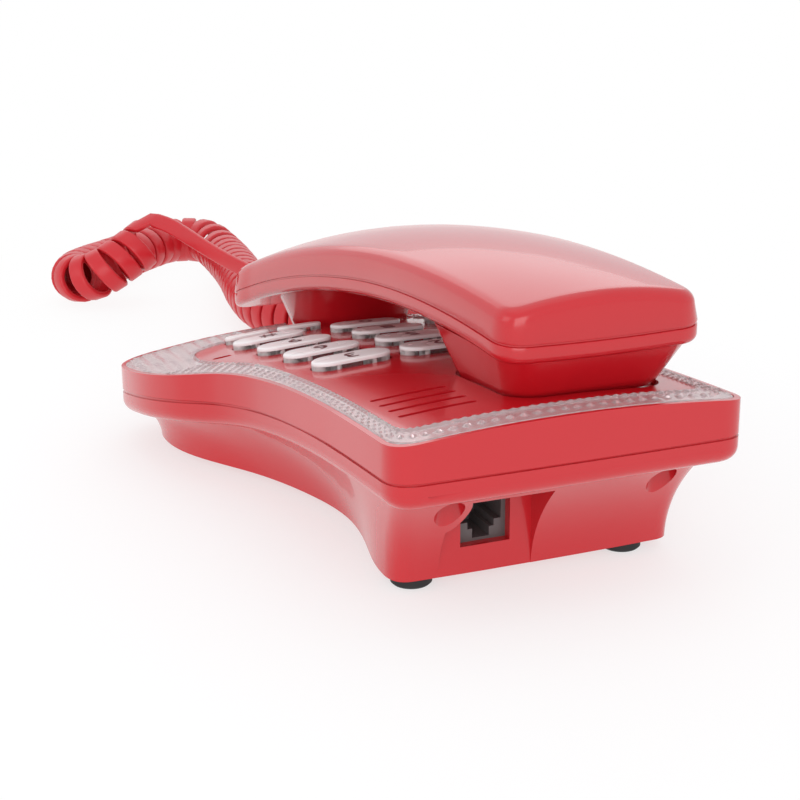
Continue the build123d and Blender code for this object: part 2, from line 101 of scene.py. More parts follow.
class StageSettings(bpy.types.PropertyGroup):
    """Floor and light"""
    floor: colour("Floor", (0.97, 0.97, 0.97, 1), "Colour of the floor")
    key_power: bpy.props.FloatProperty(name="Key light", description="Power that the lights share out",
                                       default=3.2, unit="POWER")


# ------------------------ materials

WHITE = (1, 1, 1, 1)
PLASTIC_IOR, JACKET_IOR = 1.49, 1.5
# A Mix node's sockets for colours: factor, first colour, second colour, and its output
MIX_FACTOR, MIX_FIRST, MIX_SECOND, MIX_RESULT = 0, 6, 7, 2


class Num:
    """A socket with arithmetic: every operator adds one Math node."""

    def __init__(self, nodes, socket):
        self.nodes, self.socket = nodes, socket

    def __add__(self, other):
        return self.nodes.node("ShaderNodeMath", {"operation": "ADD"}, (self, other))

    def __mul__(self, other):
        return self.nodes.node("ShaderNodeMath", {"operation": "MULTIPLY"}, (self, other))

    __radd__ = __add__
    __rmul__ = __mul__


def between(low, high, share):
    """What lies a share of the way from low to high. The share may be a socket."""
    return low + (high - low) * share


class Nodes:
    """A node tree and a short way to add to it."""

    def __init__(self, tree):
        self.tree = tree

    def node(self, kind, settings=None, values=(), output=0):
        """Adds a node, sets it up, fills or links its sockets, and gives one of its outputs, if any."""
        made = self.tree.nodes.new(kind)
        for key, value in (settings or {}).items():
            setattr(made, key, value)
        pairs = values.items() if isinstance(values, dict) else enumerate(values)
        for key, value in pairs:
            self.feed(made.inputs[key], value)
        return Num(self, made.outputs[output]) if made.outputs else None

    def feed(self, socket, value):
        """Links a socket to a Num, or sets it to a plain value."""
        if isinstance(value, Num):
            self.tree.links.new(value.socket, socket)
        else:
            socket.default_value = value


class Material(Nodes):
    """A procedural material: a Principled shader and the patterns that feed it."""

    def __init__(self, name, **constants):
        self.data = bpy.data.materials.new(name)
        self.data.use_nodes = True
        super().__init__(self.data.node_tree)
        self.shader = self.tree.nodes["Principled BSDF"]
        for socket, value in constants.items():
            self.shade(socket.replace("_", " "), value)

    def shade(self, socket, value):
        """Feeds one of the shader's own sockets."""
        self.feed(self.shader.inputs[socket], value)

    def position(self):
        """A place on the piece, in metres."""
        return self.node("ShaderNodeTexCoord", output="Object")

    def noise(self, scale, detail=2.0):
        """A cloudy pattern from 0 to 1."""
        return self.node("ShaderNodeTexNoise", {}, {"Vector": self.position(), "Scale": scale,
                                                    "Detail": detail}, "Fac")

    def mottle(self, pattern, first, second, smoothest, roughest):
        """Lets colour and roughness drift a little over the surface, together."""
        tint = self.node("ShaderNodeMix", {"data_type": "RGBA"},
                         {MIX_FACTOR: pattern, MIX_FIRST: first, MIX_SECOND: second}, MIX_RESULT)
        self.shade("Base Color", tint)
        self.shade("Roughness", between(smoothest, roughest, pattern))

    def bump(self, height, strength, distance):
        """Gives the surface a fine grain."""
        self.shade("Normal", self.node("ShaderNodeBump", {}, {"Height": height, "Strength": strength,
                                                              "Distance": distance}))


def tinted(rgba, by):
    """A colour made lighter or darker by a factor."""
    return (*(min(1.0, c * by) for c in rgba[:3]), 1.0)


def red_shell(name):
    """Glossy red plastic of the moulded shells."""
    red = bpy.context.scene.telephone_shell.red
    mat = Material(name, IOR=PLASTIC_IOR, Coat_Weight=0.35, Coat_Roughness=0.05)
    mat.mottle(mat.noise(14.0, 3.0), tinted(red, 0.94), tinted(red, 1.06), 0.17, 0.25)
    mat.bump(mat.noise(900.0), strength=0.05, distance=0.02 * MM)
    return mat.data


def clear_plastic(name, shade=(0.96, 0.93, 0.94, 1), clearness=0.72, ior=1.46):
    """Clear plastic, a little milky, through which the red behind it shows."""
    mat = Material(name, IOR=ior, Transmission_Weight=clearness)
    mat.mottle(mat.noise(60.0), tinted(shade, 0.97), shade, 0.08, 0.18)
    return mat.data


def key_plastic():
    """Satin white plastic of the key plates and ribs."""
    mat = Material("White key plate", IOR=PLASTIC_IOR)
    mat.mottle(mat.noise(80.0), (0.80, 0.76, 0.76, 1), (0.88, 0.85, 0.85, 1), 0.22, 0.32)
    mat.bump(mat.noise(2500.0), strength=0.06, distance=0.02 * MM)
    return mat.data


def plain(name, rgba, smoothest, roughest, metallic=0.0):
    """An even finish with a fine grain, for rubber, board, wire and inner parts."""
    mat = Material(name, Metallic=metallic)
    grain = mat.noise(120.0, 3.0)
    mat.mottle(grain, tinted(rgba, 0.85), tinted(rgba, 1.12), smoothest, roughest)
    mat.bump(grain, strength=0.12, distance=0.08 * MM)
    return mat.data


def cord_jacket():
    """Satin red vinyl of the cord."""
    red = bpy.context.scene.telephone_cord.red
    mat = Material("Cord jacket", IOR=JACKET_IOR)
    mat.mottle(mat.noise(40.0, 3.0), tinted(red, 0.93), tinted(red, 1.08), 0.30, 0.42)
    mat.bump(mat.noise(1200.0), strength=0.08, distance=0.03 * MM)
    return mat.data


def dress(name, material):
    """Gives a CAD node's object one material."""
    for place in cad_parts[name].material_slots:
        place.material = material


# ------------------------ shapes, in millimetres

# Side profiles as (y, z) at the rear, the middle and the front
BASE_RIDGE = ((94.4, 45.2), (10.0, 37.2), (-72.0, 23.6))
BASE_SEAM = ((94.4, 34.5), (10.0, 25.9), (-72.0, 10.6))
HANDSET_RIDGE = ((84.3, 67.0), (-4.0, 63.6), (-93.0, 40.2))
HANDSET_SEAM = ((84.3, 57.0), (-4.0, 52.5), (-93.0, 27.6))
CROWN_R, HANDSET_CROWN_R = 330.0, 85.0  # how far the upper surfaces curve down to their sides
HANDSET_X = -11.5  # the handset's middle line
# Outlines from their right half: rear middle and end, side points, front end and middle
BASE_SHAPE = (((0, 94.4), (34.0, 93.7)),
              ((41.2, 86.4), (41.1, 50), (43.4, 14), (48.4, -5), (56.2, -19), (60.4, -33), (61.5, -49)),
              ((47.5, -67.3), (0, -72.0)))
RIM_SHAPE = (((0, 93.2), (32.8, 92.5)),
             ((40.0, 85.2), (39.9, 50), (42.2, 14), (47.2, -5), (55.0, -19), (59.2, -33), (60.3, -49)),
             ((46.3, -66.1), (0, -70.8)))
PANEL_SHAPE = (((0, 84.0), (30.8, 83.4)),
               ((35.2, 79), (35.0, 50), (36.2, 17), (38.2, -4), (43.6, -17), (46.0, -28), (45.2, -34)),
               ((29.0, -49.4), (0, -56.5)))
HANDSET_SHAPE = (((0, 84.6), (16.5, 83.9)),
                 ((24.3, 76.5), (24.4, 18), (25.2, -7), (26.4, -29), (27.9, -53), (29.4, -74), (30.4, -84)),
                 ((23.2, -93.4), (0, -94.4)))
END_STEPS, SIDE_STEPS = 12, 84  # points along each end's half, each corner and each side
LEAN = math.tan(math.radians(8.0))  # how far the keys lean towards the user


def height_on(profile, y):
    """Height at y of the arc through the three (y, z) points of a side profile."""
    (y1, z1), (y2, z2), (y3, z3) = profile
    d = 2 * (y1 * (z2 - z3) + y2 * (z3 - z1) + y3 * (z1 - z2))
    s1, s2, s3 = y1 * y1 + z1 * z1, y2 * y2 + z2 * z2, y3 * y3 + z3 * z3
    yc = (s1 * (z2 - z3) + s2 * (z3 - z1) + s3 * (z1 - z2)) / d
    zc = (s1 * (y3 - y2) + s2 * (y1 - y3) + s3 * (y2 - y1)) / d
    return zc + math.sqrt((y1 - yc) ** 2 + (z1 - zc) ** 2 - (y - yc) ** 2)


def sag(radius, x):
    """How far an arc through the middle line drops at x."""
    return radius - math.sqrt(radius ** 2 - x ** 2)


def crown(x, y):
    """The base's upper surface."""
    return height_on(BASE_RIDGE, y) - sag(CROWN_R, x)


def handset_crown(x, y):
    """The handset's upper surface."""
    return height_on(HANDSET_RIDGE, y) - sag(HANDSET_CROWN_R, x - HANDSET_X)


def handset_seam(x, y):
    """Height of the seam between the handset's shells, the same all the way across."""
    return height_on(HANDSET_SEAM, y)


def bend(first, knee, last, steps):
    """Points along a rounded corner, without its last one."""
    near, far = first.lerp(knee, 2 / 3), last.lerp(knee, 2 / 3)
    return interpolate_bezier(first, near, far, last, steps + 1)[:-1]


def bow(middle, end, steps):
    """Points along a shallow end edge from its middle to its end, without the last one."""
    return [Vector((end.x * k / steps, middle.y + (end.y - middle.y) * (k / steps) ** 2))
            for k in range(steps)]


def flank(points, steps):
    """Points along a smooth side that starts and ends straight ahead, without its last one."""
    last = len(points) - 1
    ahead = Vector((0, -1))
    slopes = [ahead if k in (0, last) else (points[k + 1] - points[k - 1]).normalized()
              for k in range(last + 1)]
    line = []
    for k in range(last):
        reach = (points[k + 1] - points[k]).length / 3
        line += interpolate_bezier(points[k], points[k] + slopes[k] * reach,
                                   points[k + 1] - slopes[k + 1] * reach, points[k + 1],
                                   steps // last + 1)[:-1]
    return line


def outline(shape, fine=1):
    """A closed outline from its right half, from the middle of its rear edge."""
    rear, side, front = [[Vector(p) for p in part] for part in shape]
    end = END_STEPS * fine
    right = bow(rear[0], rear[1], end)
    right += bend(rear[1], Vector((side[0].x, rear[1].y)), side[0], end)
    right += flank(side, SIDE_STEPS * fine)
    right += bend(side[-1], Vector((side[-1].x, front[0].y)), front[0], end)
    right += list(reversed(bow(front[1], front[0], end) + [front[0]]))[:-1]
    right.append(front[1])
    left = [Vector((-p.x, p.y)) for p in right]
    return left + right[-2:0:-1]


def inset(points, by):
    """The same closed outline a distance further in."""
    count = len(points)
    moved = []
    for k, point in enumerate(points):
        along = (points[(k + 1) % count] - points[k - 1]).normalized()
        moved.append(point + Vector((-along.y, along.x)) * by)
    return moved


def ring_on(points, height, rise=0.0):
    """An outline laid on a surface."""
    return [Vector((p.x, p.y, height(p.x, p.y) + rise)) for p in points]


def pill(x, y, long, wide, fine=12):
    """A rounded slot's outline, lengthwise along X."""
    reach = (long - wide) / 2
    turns = [(1, math.pi * (k / fine - 0.5)) for k in range(fine + 1)]
    turns += [(-1, math.pi * (k / fine + 0.5)) for k in range(fine + 1)]
    return [Vector((x + side * reach + math.cos(a) * wide / 2, y + math.sin(a) * wide / 2))
            for side, a in turns]


def lofted(mesh, rings):
    """A skin through closed rings of as many points each, laid out from a grid and closed at its ends."""
    around, along = len(rings[0]), len(rings) - 1
    made = bmesh.ops.create_grid(mesh, x_segments=around, y_segments=along, size=1.0)["verts"]
    reach = max(vert.co.x for vert in made)
    for vert in made:
        column = round((vert.co.x / reach + 1) / 2 * around)
        row = round((vert.co.y / reach + 1) / 2 * along)
        vert.co = rings[row][column % around]
    bmesh.ops.remove_doubles(mesh, verts=made, dist=1e-4)
    bmesh.ops.holes_fill(mesh, edges=[edge for edge in mesh.edges if edge.is_boundary], sides=0)


def finish_mesh(name, mesh, smooth=True, angle=None):
    """Turns a bmesh in millimetres into an object at the origin."""
    bmesh.ops.recalc_face_normals(mesh, faces=mesh.faces)
    bmesh.ops.scale(mesh, vec=(MM, MM, MM), verts=mesh.verts)
    data = bpy.data.meshes.new(name)
    mesh.to_mesh(data)
    mesh.free()
    if smooth:
        data.polygons.foreach_set("use_smooth", [True] * len(data.polygons))
    if angle:
        data.set_sharp_from_angle(angle=math.radians(angle))
    made = bpy.data.objects.new(name, data)
    bpy.context.scene.collection.objects.link(made)
    return made


# ------------------------ handset shells

HANDSET_WALL, HANDSET_DRAFT = 1.8, 0.75
HANDSET_EDGE, BAND_EDGE = 2.6, 1.9  # radii of the top shell's upper and the band's lower edge
BAND_DEEP = 4.0
EDGE_STEPS = 8
# The band's rim under the seam: (distance in from the outline, height)
BAND_RIM = ((HANDSET_WALL, -0.02), (0.25, -0.02), (0.06, -0.1), (0.0, -0.3))
# How far in towards the middle line each ring of a closed surface lies
CLOSING, CROWN_CLOSING = (0.2, 0.4, 0.6, 0.8, 1.0), (0.06, 0.2, 0.35, 0.5, 0.65, 0.8, 1.0)
LINE_SHORTER = 0.25  # how much shorter the middle line is than the handset

CUP_SHARES = (0.0, 0.25, 0.5, 0.75, 0.97, 1.0)  # how far down each section of a cup lies
# Cups: (width, length) at the handset, what they lose on the way down, and how far the rim is drawn in.
# The speaking end's are half sizes.
EAR_SIZE, EAR_TAPER, EAR_RIM = (45.6, 45.0), (9.5, 11.0), 1.0
MOUTH_SIZE, MOUTH_TAPER, MOUTH_RIM = (20, 24), (4.4, 6.2), 0.6
# Height at the handset, how much lower the rim lies, and the slope there with its change on the way down
EAR_TOP, EAR_TALL, EAR_SLOPE, EAR_TURN = 53.5, 12.1, 0.03, 0.055
MOUTH_TOP, MOUTH_TALL, MOUTH_SLOPE, MOUTH_TURN = 35.0, 12.4, 0.33, -0.13
EAR_Y, EAR_SHIFT = 61.0, 0.6  # its middle, and how much nearer the front the rim's is
EAR_CORNER, EAR_CORNER_LOSS = 7.4, 0.4
MOUTH_X, MOUTH_Y = -9.0, -64.0


def handset_plan():
    """The handset's outline, where it lies on the base."""
    return [p + Vector((HANDSET_X, 0)) for p in outline(HANDSET_SHAPE)]


def spine(points, share):
    """An outline drawn in towards the handset's middle line: share 0 is the outline, 1 the line."""
    drawn = []
    for p in points:
        along = p.y * (1 - LINE_SHORTER * share)
        drawn.append(Vector((HANDSET_X + (p.x - HANDSET_X) * (1 - share), along)))
    return drawn


def closing(points, height, rise, shares=CLOSING):
    """Rings from an outline in to the middle line, on a surface."""
    return [ring_on(spine(points, share), height, rise) for share in shares]


def quarter(radius, first=0, steps=EDGE_STEPS):
    """Steps round a rounded edge: how far in, and how far short of its full height, each one lies."""
    for k in range(first, steps + 1):
        angle = math.pi / 2 * k / steps
        yield radius * (1 - math.cos(angle)), radius * (1 - math.sin(angle))


def top_shell(mesh, groove):
    """The handset's upper shell: drafted wall, rounded edge and crown, over a hollow."""
    plan = handset_plan()
    inner = inset(plan, HANDSET_WALL)
    rings = list(reversed(closing(inner, handset_crown, -HANDSET_WALL)))
    rings.append(ring_on(inner, handset_crown, -HANDSET_WALL))
    rings.append(ring_on(inner, handset_seam))
    rim = ((groove, 0.0), (groove, 0.35), (0.12, 0.5), (0.0, 0.8))
    for inward, rise in rim:
        rings.append(ring_on(inset(plan, inward), handset_seam, rise))
    rings.append(ring_on(inset(plan, HANDSET_DRAFT), handset_crown, -HANDSET_EDGE))
    for inward, short in quarter(HANDSET_EDGE, 1):
        rings.append(ring_on(inset(plan, HANDSET_DRAFT + inward), handset_crown, -short))
    rings += closing(inset(plan, HANDSET_DRAFT + HANDSET_EDGE), handset_crown, 0.0, CROWN_CLOSING)
    lofted(mesh, rings)


def bottom_band(mesh):
    """The handset's lower shell between its cups: a band with a rounded lower edge and a flat underside."""
    plan = handset_plan()
    inner = inset(plan, HANDSET_WALL)
    rings = list(reversed(closing(inner, handset_seam, HANDSET_WALL - BAND_DEEP)))
    rings.append(ring_on(inner, handset_seam, HANDSET_WALL - BAND_DEEP))
    rings += [ring_on(inset(plan, inward), handset_seam, rise) for inward, rise in BAND_RIM]
    for inward, short in quarter(BAND_EDGE):
        rings.append(ring_on(inset(plan, inward), handset_seam, -BAND_DEEP + short))
    rings += closing(inset(plan, BAND_EDGE), handset_seam, -BAND_DEEP)
    lofted(mesh, rings)


def rounded_box(x, y, wide, long, radius, fine=8):
    """A rectangle with rounded corners, by its centre and two full sizes."""
    points = []
    for k, (sx, sy) in enumerate(((1, 1), (-1, 1), (-1, -1), (1, -1))):
        middle = Vector((x + sx * (wide / 2 - radius), y + sy * (long / 2 - radius)))
        for step in range(fine + 1):
            angle = math.radians(90 * k + 90 * step / fine)
            points.append(middle + Vector((math.cos(angle), math.sin(angle))) * radius)
    return points


def oval(x, y, wide, long, fine=72):
    """An oval, by its centre and two half sizes."""
    return [Vector((x + wide * math.cos(a), y + long * math.sin(a)))
            for a in (2 * math.pi * k / fine for k in range(fine))]


def sloped(z, slope, y0):
    """A plane that has height z at y0 and rises by slope along Y."""
    return lambda x, y: z + slope * (y - y0)


def cup_sections(size, taper, rim):
    """Share of the way down, width and length of each section of a cup, drawn in at its rim."""
    for share in CUP_SHARES:
        take_in = rim if share == 1.0 else 0.0
        wide, long = (full - loss * share - take_in for full, loss in zip(size, taper))
        yield share, wide, long


def cups(mesh):
    """The two tapered cups: the listening end's, nearly square, and the speaking end's, oval."""
    ear, mouth = [], []
    for share, wide, long in cup_sections(EAR_SIZE, EAR_TAPER, EAR_RIM):
        middle = EAR_Y - EAR_SHIFT * share
        surface = sloped(EAR_TOP - EAR_TALL * share, EAR_SLOPE + EAR_TURN * share, middle)
        plan = rounded_box(HANDSET_X, middle, wide, long, EAR_CORNER - EAR_CORNER_LOSS * share)
        ear.append(ring_on(plan, surface))
    for share, wide, long in cup_sections(MOUTH_SIZE, MOUTH_TAPER, MOUTH_RIM):
        surface = sloped(MOUTH_TOP - MOUTH_TALL * share, MOUTH_SLOPE + MOUTH_TURN * share, MOUTH_Y)
        mouth.append(ring_on(oval(MOUTH_X, MOUTH_Y, wide, long), surface))
    lofted(mesh, ear)
    lofted(mesh, mouth)


class TELEPHONE_OT_handset(bpy.types.Operator):
    """Models the handset's two shells with the groove between them"""
    bl_idname = "telephone.handset"
    bl_label = "Handset shells"

    def execute(self, context):
        red = red_shell("Red moulded plastic, handset")
        upper, lower = bmesh.new(), bmesh.new()
        top_shell(upper, context.scene.telephone_shell.groove / MM)
        bottom_band(lower)
        cups(lower)
        for name, mesh in (("handset_top_shell", upper), ("handset_bottom_shell", lower)):
            shell = finish_mesh(name.replace("_shell", "_looks"), mesh, angle=38)
            shell.data.materials.append(red)
            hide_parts(name)
            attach(shell, "handset")
        return {"FINISHED"}


# ------------------------ top housing

GROOVE_START, GROOVE_FINE = -1.5, 3  # where its cutter starts, outside the wall, and its fineness
FACING_UP, FACING_OUT = 0.8, 0.3  # a face on the crown points up more, one on the wall less
WALL_NEAR, WALL_ALIKE = 0.35, 0.7  # the wall lies this near the outline and faces much as it does
WALL_FINE = 14  # how much finer the outline is that shades the wall
CAD_MERGE = 0.002  # CAD corners this close are one


def settle(made):
    """Turns an object's modifiers into its own mesh."""
    graph = bpy.context.evaluated_depsgraph_get()
    data = bpy.data.meshes.new_from_object(made.evaluated_get(graph))
    made.modifiers.clear()
    made.data = data


def cut_out(made, cutter):
    """Takes one object's form out of another."""
    trim = made.modifiers.new("Cut", "BOOLEAN")
    trim.operation, trim.solver, trim.object = "DIFFERENCE", "EXACT", cutter
    settle(made)
    bpy.data.objects.remove(cutter)


def seam(x, y):
    """Height of the seam between the base's housings, the same all the way across."""
    return height_on(BASE_SEAM, y)


def crown_normal(x, y):
    """Which way the base's upper surface faces."""
    step = 0.05
    slope_x = (crown(x + step, y) - crown(x - step, y)) / (2 * step)
    slope_y = (crown(x, y + step) - crown(x, y - step)) / (2 * step)
    return Vector((-slope_x, -slope_y, 1)).normalized()


def shade_as_moulded(data, plan):
    """Normals of the true surfaces: the crown's on top, the outline's on the outer wall, flat elsewhere."""
    tree = KDTree(len(plan))
    for number, point in enumerate(plan):
        tree.insert((point.x, point.y, 0), number)
    tree.balance()
    normals = []
    for face in data.polygons:
        for corner in face.loop_indices:
            place = data.vertices[data.loops[corner].vertex_index].co / MM
            normal = face.normal
            if normal.z > FACING_UP:
                normal = crown_normal(place.x, place.y)
            elif abs(normal.z) < FACING_OUT:
                _, number, away = tree.find((place.x, place.y, 0))
                along = plan[(number + 1) % len(plan)] - plan[number - 1]
                out = Vector((along.y, -along.x, 0)).normalized()
                if away < WALL_NEAR and out.dot(normal) > WALL_ALIKE:
                    normal = out
            normals.append(normal)
    data.normals_split_custom_set(normals)


def groove_band(mesh, groove):
    """A band round the base that reaches a groove's depth into its wall, over the seam."""
    section = ((GROOVE_START, -0.6), (groove, -0.6), (groove, 0.25), (groove - 0.2, 0.42),
               (GROOVE_START, 0.62))
    plan = outline(BASE_SHAPE, GROOVE_FINE)
    lofted(mesh, [ring_on(inset(plan, across), seam, rise) for across, rise in section + section[:1]])


class TELEPHONE_OT_housing(bpy.types.Operator):
    """Cuts the groove between the base's two housings into a copy of the upper one"""
    bl_idname = "telephone.housing"
    bl_label = "Top housing"

    def execute(self, context):
        mesh = bmesh.new()
        mesh.from_mesh(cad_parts["top_housing"].data)
        bmesh.ops.remove_doubles(mesh, verts=mesh.verts, dist=CAD_MERGE * MM)
        bmesh.ops.scale(mesh, vec=(1 / MM, 1 / MM, 1 / MM), verts=mesh.verts)
        housing = finish_mesh("top_housing_looks", mesh)
        band = bmesh.new()
        groove_band(band, context.scene.telephone_shell.groove / MM)
        cut_out(housing, finish_mesh("groove_cutter", band))
        shade_as_moulded(housing.data, outline(BASE_SHAPE, WALL_FINE))
        housing.data.materials.clear()
        housing.data.materials.append(red_shell("Red moulded plastic, top housing"))
        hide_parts("top_housing")
        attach(housing, "base")
        return {"FINISHED"}


# ------------------------ clear ring

RING_DEEP, RING_SUNK = 1.55, 0.1  # its underside and its plain surface, under the crown
RING_STEPS, RING_FINE = 30, 8  # steps across it, and how much finer its outlines are
# The bead along the panel and the lip along the rim: middle and half width, with the bead's beading
BEAD_AT, BEAD_REACH, BEAD_PITCH, BEAD_WAVE = 0.85, 0.95, 2.3, 0.22
LIP_AT, LIP_REACH, LIP_SHARE = 0.35, 0.45, 0.45
PATTERN_FROM = 1.7  # how far across the ring its pattern starts
RIDGES_UNTIL, BIG_DIMPLES_FROM = -22, 84.0  # Y that bounds the ridged front and the rear edge
# Ridges: pitch, how they swell and fade, share of a dimple's height, and the ways they slant
RIDGE_PITCH, RIDGE_WAVE, RIDGE_SHARE = 1.9, 2.9, 0.62
RIDGE_SKEW, RIDGE_ACROSS, RIDGE_ALONG = 0.35, 0.72, 0.6
# Dimples, large ones at the rear edge and small ones in rows: pitch, place across the ring and half width
BIG_PITCH, BIG_AT, BIG_REACH, BIG_SHARE = 3.2, 5.0, 1.25, 1.5
DIMPLE_PITCH, DIMPLE_ROW, DIMPLE_FROM, DIMPLE_REACH = 3.3, 1.45, 0.8, 0.8
ROW_END = 0.7  # how far from the rim the last row of dimples ends
SEAT_SIZE, SEAT_HEIGHTS = (18.5, 20.7), (10.0, 60.0)  # half sizes of the seat cut out of the ring


def hill(distance, radius):
    """A smooth bump: 1 in its middle, 0 at its radius."""
    share = min(1.0, abs(distance) / radius)
    return (1 - share * share) ** 2


def off_middle(along, pitch, shift=0.0):
    """How far along the nearest repeat of a pattern a place lies."""
    return ((along / pitch + shift) % 1.0 - 0.5) * pitch


def relief(along, across, wide, place, settings):
    """Height of the ring's pattern: bead and lip, with ridges, large dimples or rows of dimples between."""
    dimple, bead = settings.dimple / MM, settings.bead / MM
    beading = 1 + BEAD_WAVE * math.cos(2 * math.pi * along / BEAD_PITCH)
    height = bead * hill(across - BEAD_AT, BEAD_REACH) * beading
    height += LIP_SHARE * bead * hill(wide - across - LIP_AT, LIP_REACH)
    if across < PATTERN_FROM:
        return height
    if place.y < RIDGES_UNTIL:
        rows = 0.5 + 0.5 * math.cos(2 * math.pi * (place.y + RIDGE_SKEW * place.x) / RIDGE_WAVE)
        lines = math.sin(2 * math.pi * (RIDGE_ACROSS * place.x + place.y * RIDGE_ALONG) / RIDGE_PITCH)
        return height + dimple * RIDGE_SHARE * rows * max(0.0, lines)
    if place.y > BIG_DIMPLES_FROM:
        away = math.hypot(off_middle(along, BIG_PITCH), across - BIG_AT)
        return height + BIG_SHARE * dimple * hill(away, BIG_REACH)
    row = round((across - PATTERN_FROM - DIMPLE_FROM) / DIMPLE_ROW)
    centre = PATTERN_FROM + DIMPLE_FROM + DIMPLE_ROW * row
    if centre > wide - ROW_END:
        return height
    away = math.hypot(off_middle(along, DIMPLE_PITCH, 0.5 * (row % 2)), across - centre)
    return height + dimple * hill(away, DIMPLE_REACH)


def ring_rings(inner, outer, settings):
    """The ring's surface with its relief, from the panel's outline to the rim's."""
    walked = [0.0]
    for here, there in zip(outer, outer[1:]):
        walked.append(walked[-1] + (there - here).length)
    rings = []
    for k in range(RING_STEPS + 1):
        ring = []
        for p, q, along in zip(inner, outer, walked):
            wide = (q - p).length
            place = p.lerp(q, k / RING_STEPS)
            rise = relief(along, wide * k / RING_STEPS, wide, place, settings)
            ring.append(Vector((place.x, place.y, crown(place.x, place.y) - RING_SUNK + rise)))
        rings.append(ring)
    return rings


class TELEPHONE_OT_ring(bpy.types.Operator):
    """Models the clear ring round the panel with its bead and dimples"""
    bl_idname = "telephone.ring"
    bl_label = "Clear ring"

    def execute(self, context):
        outer, inner = outline(RIM_SHAPE, RING_FINE), outline(PANEL_SHAPE, RING_FINE)
        rings = ring_rings(inner, outer, context.scene.telephone_ring)
        under = [ring_on([p.lerp(q, share) for p, q in zip(inner, outer)], crown, -RING_DEEP)
                 for share in (1.0, 0.5, 0.0)]
        mesh, cutter = bmesh.new(), bmesh.new()
        lofted(mesh, rings + under + rings[:1])
        ring = finish_mesh("light_ring_looks", mesh, angle=50)
        ring.data.materials.append(clear_plastic("Clear ring plastic", (1.0, 0.86, 0.87, 1)))
        seat = oval(MOUTH_X, MOUTH_Y, *SEAT_SIZE)
        lofted(cutter, [ring_on(seat, sloped(z, 0, 0)) for z in SEAT_HEIGHTS])
        cut_out(ring, finish_mesh("seat_cutter", cutter))
        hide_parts("light_ring")
        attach(ring, "base")
        return {"FINISHED"}


# ------------------------ keys

NUMBER_KEYS = (("1", "2", "3"), ("4", "5", "6"), ("7", "8", "9"), ("star", "0", "hash"))
SIGNS = {"star": "*", "hash": "#"}
KEY_COLUMNS, KEY_FAN = (-24.5, -1.6, 21.3), 0.07
FIRST_ROW, ROW_PITCH, NUMBER_SIZE = 17.5, 16.8, (19.8, 9.6)
FUNCTION_KEYS = ((13.0, "flash"), (28.0, "redial"))
FUNCTION_ROW, FUNCTION_SIZE = -45.2, (12.6, 4.8)
KEY_PROUD, KEY_EDGE, KEY_EDGE_STEPS = 1.9, 0.5, 5
RIB_DEEP, SKIRT_DEEP = -3.8, -3.9  # lower ends under the panel's surface
FIT = 0.02  # keeps faces apart that would lie in one plane
SKIRT_LESS = 0.1  # how much smaller the skirt is than the plate
RIB_PLACES, RIB_THICK = (1.9, 5.4), (2.6, 1.3)  # from the key's end: an outer and an inner rib
END_ROUND = 3  # near its end a key is round, and its ribs are short
RIB_LESS, RIB_SHARE = 0.7, 0.52  # what a long rib lacks of the width, and a short one's share
DIGIT_STRETCH, DIGIT_THICK = 1.15, 0.03


def key_places():
    """Name, label, centre and size of every key."""
    for row, names in enumerate(NUMBER_KEYS):
        for x, name in zip(KEY_COLUMNS, names):
            middle = (x * (1 + KEY_FAN * row), FIRST_ROW - row * ROW_PITCH)
            yield "key_" + name, SIGNS.get(name, name), middle, NUMBER_SIZE
    for x, name in FUNCTION_KEYS:
        yield "key_" + name, "", (x, FUNCTION_ROW), FUNCTION_SIZE


def lean(x, y, z, middle_y):
    """A point of a key moved along the keys' travel by its height over the key's middle."""
    return Vector((x, y - (z - crown(0, middle_y)) * LEAN, z))


def key_section(middle, long, wide, level):
    """A pill round a key's middle, a level over the panel's surface."""
    x, y = middle
    return [lean(p.x, p.y, crown(p.x, p.y) + level, y) for p in pill(x, y, long, wide)]


def pill_block(mesh, middle, size, top, bottom, radius=0.0):
    """A block with a pill's plan between two heights over the panel, rounded at its top edge."""
    long, wide = size
    rings = [key_section(middle, long, wide, bottom)]
    if radius:
        rings.append(key_section(middle, long, wide, top - radius))
    for inward, short in quarter(radius, 1, KEY_EDGE_STEPS if radius else 1):
        rings.append(key_section(middle, long - 2 * inward, wide - 2 * inward, top - short))
    long_top, wide_top = long - 2 * radius, wide - 2 * radius
    for share in (0.5, 0.97):
        rings.append(key_section(middle, long_top - wide_top * share, wide_top * (1 - share), top))
    lofted(mesh, rings)


def key_ribs(long, wide):
    """Place along the key, thickness and height across it of the white ribs inside its skirt."""
    places = [-long / 2 + reach for reach in RIB_PLACES]
    places += [long / 2 - reach for reach in reversed(RIB_PLACES)]
    for along, thick in zip(places, RIB_THICK + RIB_THICK[::-1]):
        straight = abs(along) < long / 2 - END_ROUND
        yield along, thick, wide - RIB_LESS if straight else wide * RIB_SHARE


def label_mesh(label, middle, tall):
    """A digit's mesh, laid on the key's top."""
    x, y = middle
    curve = bpy.data.curves.new("label", "FONT")
    curve.body, curve.size, curve.extrude = label, tall, DIGIT_THICK
    curve.align_x, curve.align_y = "CENTER", "CENTER"
    curve.resolution_u = 4
    holder = bpy.data.objects.new("label", curve)
    data = bpy.data.meshes.new_from_object(holder)
    bpy.data.objects.remove(holder)
    bpy.data.curves.remove(curve)
    for vert in data.vertices:
        across, up = x + vert.co.x * DIGIT_STRETCH, y + vert.co.y
        vert.co = lean(across, up, crown(across, up) + KEY_PROUD + FIT + vert.co.z, y)
    return data


